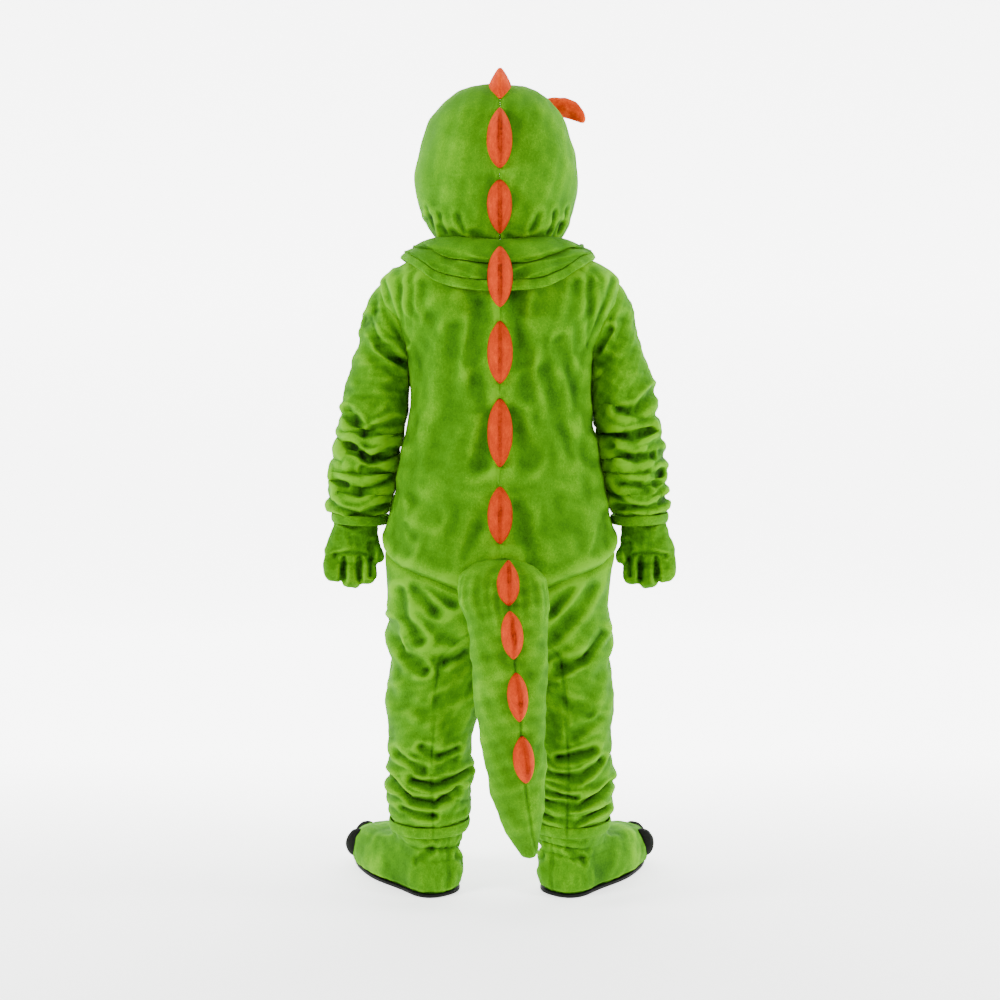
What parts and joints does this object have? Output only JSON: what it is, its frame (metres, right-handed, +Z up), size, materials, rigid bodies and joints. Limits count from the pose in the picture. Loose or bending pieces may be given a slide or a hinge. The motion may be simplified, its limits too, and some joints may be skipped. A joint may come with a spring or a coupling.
{
  "type": "lizard mascot costume",
  "caption": "Full-body lizard mascot costume worn over a person: hollow head, hooded neck, suit, gloves, boot covers, stuffed tail and stuffed spikes down the back.",
  "frame": {"origin": "inside the suit between the wearer's shoulders, 1400 mm above the floor, on the middle plane at the side seams", "axes": "+Z up, -Y the way the wearer faces, +X the wearer's left"},
  "size_m": [0.7796, 0.5823, 1.8417],
  "materials": {
    "green_plush": "short-pile plush",
    "green_trim": "short-pile plush, turned hem",
    "orange_plush": "short-pile plush, stuffed",
    "black_felt": "felt, stuffed",
    "sole_rubber": "matt",
    "eye_vinyl": "gloss",
    "mouth_mesh": "open mesh to see through",
    "zip_tape": "woven tape with a coil"
  },
  "bodies": {
    "root": {"back_left": "green_plush", "front_left": "green_plush", "sleeve_left": "green_plush", "cuff_left": "green_trim", "leg_left": "green_plush", "leg_hem_left": "green_trim", "glove_palm_left": "green_plush", "glove_back_left": "green_plush", "boot_left": "green_plush", "sole_left": "sole_rubber", "claw_left_1": "black_felt", "claw_left_2": "black_felt", "claw_left_3": "black_felt", "head_left": "green_plush", "eye_left": "eye_vinyl", "back_right": "green_plush", "front_right": "green_plush", "sleeve_right": "green_plush", "cuff_right": "green_trim", "leg_right": "green_plush", "leg_hem_right": "green_trim", "glove_palm_right": "green_plush", "glove_back_right": "green_plush", "boot_right": "green_plush", "sole_right": "sole_rubber", "claw_right_1": "black_felt", "claw_right_2": "black_felt", "claw_right_3": "black_felt", "head_right": "green_plush", "eye_right": "eye_vinyl", "front_zip": "zip_tape", "cowl_upper": "green_plush", "cowl_lower": "green_plush", "cowl_hem": "green_trim", "mouth_mesh": "mouth_mesh", "tail": "green_plush", "horn": "orange_plush", "spike_01": "orange_plush", "spike_02": "orange_plush", "spike_03": "orange_plush", "spike_04": "orange_plush", "spike_05": "orange_plush", "spike_06": "orange_plush", "spike_07": "orange_plush", "spike_08": "orange_plush", "spike_09": "orange_plush", "spike_10": "orange_plush", "spike_11": "orange_plush"}
  },
  "joints": []
}
